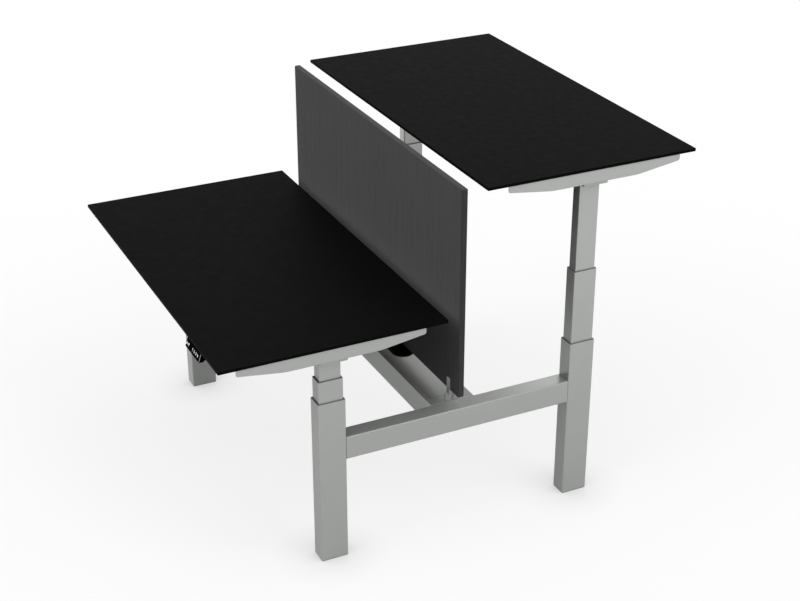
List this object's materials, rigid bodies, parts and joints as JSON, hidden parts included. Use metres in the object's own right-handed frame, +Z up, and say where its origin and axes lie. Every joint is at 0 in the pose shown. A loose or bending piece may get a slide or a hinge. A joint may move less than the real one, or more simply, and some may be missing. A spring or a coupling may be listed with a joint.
{
  "type": "benching desk",
  "caption": "Back-to-back sit-stand bench: thin dark worktops on silver telescopic columns, joined by cross beams and a cable trough that carries a tall fabric screen.",
  "frame": {"origin": "on the floor, under the middle of the bench", "axes": "+X along the worktops' long edges and the screen, +Y from desk A (low in the picture) to desk B (high), +Z up"},
  "size_m": [1.36, 1.6432, 1.2012],
  "materials": {
    "frame_paint": "fine satin powder coat",
    "worktop_laminate": "matt compact laminate",
    "screen_fabric": "woven wool felt",
    "black_plastic": "fine moulded grain",
    "key_plastic": "smooth",
    "drive_metal": "as cast",
    "spindle_steel": "bright"
  },
  "bodies": {
    "frame": {"a_outer_column_left": "frame_paint", "a_levelling_foot_left": "black_plastic", "a_outer_column_right": "frame_paint", "a_levelling_foot_right": "black_plastic", "b_outer_column_left": "frame_paint", "b_levelling_foot_left": "black_plastic", "b_outer_column_right": "frame_paint", "b_levelling_foot_right": "black_plastic", "cross_beam_left": "frame_paint", "cross_beam_right": "frame_paint", "cable_trough": "frame_paint", "trough_lid": "frame_paint", "power_tray": "black_plastic", "screen_bracket_left": "frame_paint", "screen_bracket_right": "frame_paint", "screen_panel": "screen_fabric"},
    "a_desk": {"a_worktop": "worktop_laminate", "a_under_rail": "frame_paint", "a_control_box": "black_plastic", "a_handset": "black_plastic", "a_inner_column_left": "frame_paint", "a_column_head_left": "frame_paint", "a_drive_unit_left": "drive_metal", "a_side_arm_left": "frame_paint", "a_inner_column_right": "frame_paint", "a_column_head_right": "frame_paint", "a_drive_unit_right": "drive_metal", "a_side_arm_right": "frame_paint"},
    "a_mid_tubes": {"a_mid_column_left": "frame_paint", "a_mid_column_right": "frame_paint"},
    "a_spindle_left": {"a_lift_spindle_left": "spindle_steel"},
    "a_spindle_right": {"a_lift_spindle_right": "spindle_steel"},
    "a_key_up": {"a_key_up": "key_plastic"},
    "a_key_down": {"a_key_down": "key_plastic"},
    "a_key_memory_1": {"a_key_memory_1": "key_plastic"},
    "a_key_memory_2": {"a_key_memory_2": "key_plastic"},
    "a_key_memory_3": {"a_key_memory_3": "key_plastic"},
    "a_key_memory_4": {"a_key_memory_4": "key_plastic"},
    "b_desk": {"b_worktop": "worktop_laminate", "b_under_rail": "frame_paint", "b_control_box": "black_plastic", "b_handset": "black_plastic", "b_inner_column_left": "frame_paint", "b_column_head_left": "frame_paint", "b_drive_unit_left": "drive_metal", "b_side_arm_left": "frame_paint", "b_inner_column_right": "frame_paint", "b_column_head_right": "frame_paint", "b_drive_unit_right": "drive_metal", "b_side_arm_right": "frame_paint"},
    "b_mid_tubes": {"b_mid_column_left": "frame_paint", "b_mid_column_right": "frame_paint"},
    "b_spindle_left": {"b_lift_spindle_left": "spindle_steel"},
    "b_spindle_right": {"b_lift_spindle_right": "spindle_steel"},
    "b_key_up": {"b_key_up": "key_plastic"},
    "b_key_down": {"b_key_down": "key_plastic"},
    "b_key_memory_1": {"b_key_memory_1": "key_plastic"},
    "b_key_memory_2": {"b_key_memory_2": "key_plastic"},
    "b_key_memory_3": {"b_key_memory_3": "key_plastic"},
    "b_key_memory_4": {"b_key_memory_4": "key_plastic"}
  },
  "joints": [
    {"name": "a_lift", "type": "slide", "parent": "frame", "child": "a_desk", "axis": [0, 0, 1], "range_m": [-0.118, 0.512]},
    {"name": "a_mid_stage", "type": "slide", "parent": "frame", "child": "a_mid_tubes", "axis": [0, 0, 1], "range_m": [-0.052, 0.2253]},
    {"name": "a_spindle_turn_left", "type": "hinge", "parent": "a_desk", "child": "a_spindle_left", "pos_m": [-0.6225, -0.4465, 0.6], "axis": [0, 0, 1], "range_deg": [-1190, 5162]},
    {"name": "a_spindle_turn_right", "type": "hinge", "parent": "a_desk", "child": "a_spindle_right", "pos_m": [0.6225, -0.4465, 0.6], "axis": [0, 0, 1], "range_deg": [-1190, 5162]},
    {"name": "a_press_up", "type": "slide", "parent": "a_desk", "child": "a_key_up", "axis": [0, 0.9559, -0.2936], "range_m": [0, 0.001], "stiffness_N_per_m": 2000},
    {"name": "a_press_down", "type": "slide", "parent": "a_desk", "child": "a_key_down", "axis": [0, 0.9559, -0.2936], "range_m": [0, 0.001], "stiffness_N_per_m": 2000},
    {"name": "a_press_memory_1", "type": "slide", "parent": "a_desk", "child": "a_key_memory_1", "axis": [0, 0.9559, -0.2936], "range_m": [0, 0.001], "stiffness_N_per_m": 2000},
    {"name": "a_press_memory_2", "type": "slide", "parent": "a_desk", "child": "a_key_memory_2", "axis": [0, 0.9559, -0.2936], "range_m": [0, 0.001], "stiffness_N_per_m": 2000},
    {"name": "a_press_memory_3", "type": "slide", "parent": "a_desk", "child": "a_key_memory_3", "axis": [0, 0.9559, -0.2936], "range_m": [0, 0.001], "stiffness_N_per_m": 2000},
    {"name": "a_press_memory_4", "type": "slide", "parent": "a_desk", "child": "a_key_memory_4", "axis": [0, 0.9559, -0.2936], "range_m": [0, 0.001], "stiffness_N_per_m": 2000},
    {"name": "b_lift", "type": "slide", "parent": "frame", "child": "b_desk", "axis": [0, 0, 1], "range_m": [-0.5325, 0.0975]},
    {"name": "b_mid_stage", "type": "slide", "parent": "frame", "child": "b_mid_tubes", "axis": [0, 0, 1], "range_m": [-0.2343, 0.0429]},
    {"name": "b_spindle_turn_left", "type": "hinge", "parent": "b_desk", "child": "b_spindle_left", "pos_m": [0.6225, 0.4465, 0.6], "axis": [0, 0, 1], "range_deg": [-5368, 983]},
    {"name": "b_spindle_turn_right", "type": "hinge", "parent": "b_desk", "child": "b_spindle_right", "pos_m": [-0.6225, 0.4465, 0.6], "axis": [0, 0, 1], "range_deg": [-5368, 983]},
    {"name": "b_press_up", "type": "slide", "parent": "b_desk", "child": "b_key_up", "axis": [0, -0.9559, -0.2936], "range_m": [0, 0.001], "stiffness_N_per_m": 2000},
    {"name": "b_press_down", "type": "slide", "parent": "b_desk", "child": "b_key_down", "axis": [0, -0.9559, -0.2936], "range_m": [0, 0.001], "stiffness_N_per_m": 2000},
    {"name": "b_press_memory_1", "type": "slide", "parent": "b_desk", "child": "b_key_memory_1", "axis": [0, -0.9559, -0.2936], "range_m": [0, 0.001], "stiffness_N_per_m": 2000},
    {"name": "b_press_memory_2", "type": "slide", "parent": "b_desk", "child": "b_key_memory_2", "axis": [0, -0.9559, -0.2936], "range_m": [0, 0.001], "stiffness_N_per_m": 2000},
    {"name": "b_press_memory_3", "type": "slide", "parent": "b_desk", "child": "b_key_memory_3", "axis": [0, -0.9559, -0.2936], "range_m": [0, 0.001], "stiffness_N_per_m": 2000},
    {"name": "b_press_memory_4", "type": "slide", "parent": "b_desk", "child": "b_key_memory_4", "axis": [0, -0.9559, -0.2936], "range_m": [0, 0.001], "stiffness_N_per_m": 2000}
  ],
  "couplings": [
    {"joint": "a_mid_stage", "follows": "a_lift", "ratio": 0.44},
    {"joint": "a_spindle_turn_left", "follows": "a_lift", "rad_per_m": 175.93},
    {"joint": "a_spindle_turn_right", "follows": "a_lift", "rad_per_m": 175.93},
    {"joint": "b_mid_stage", "follows": "b_lift", "ratio": 0.44},
    {"joint": "b_spindle_turn_left", "follows": "b_lift", "rad_per_m": 175.93},
    {"joint": "b_spindle_turn_right", "follows": "b_lift", "rad_per_m": 175.93}
  ]
}
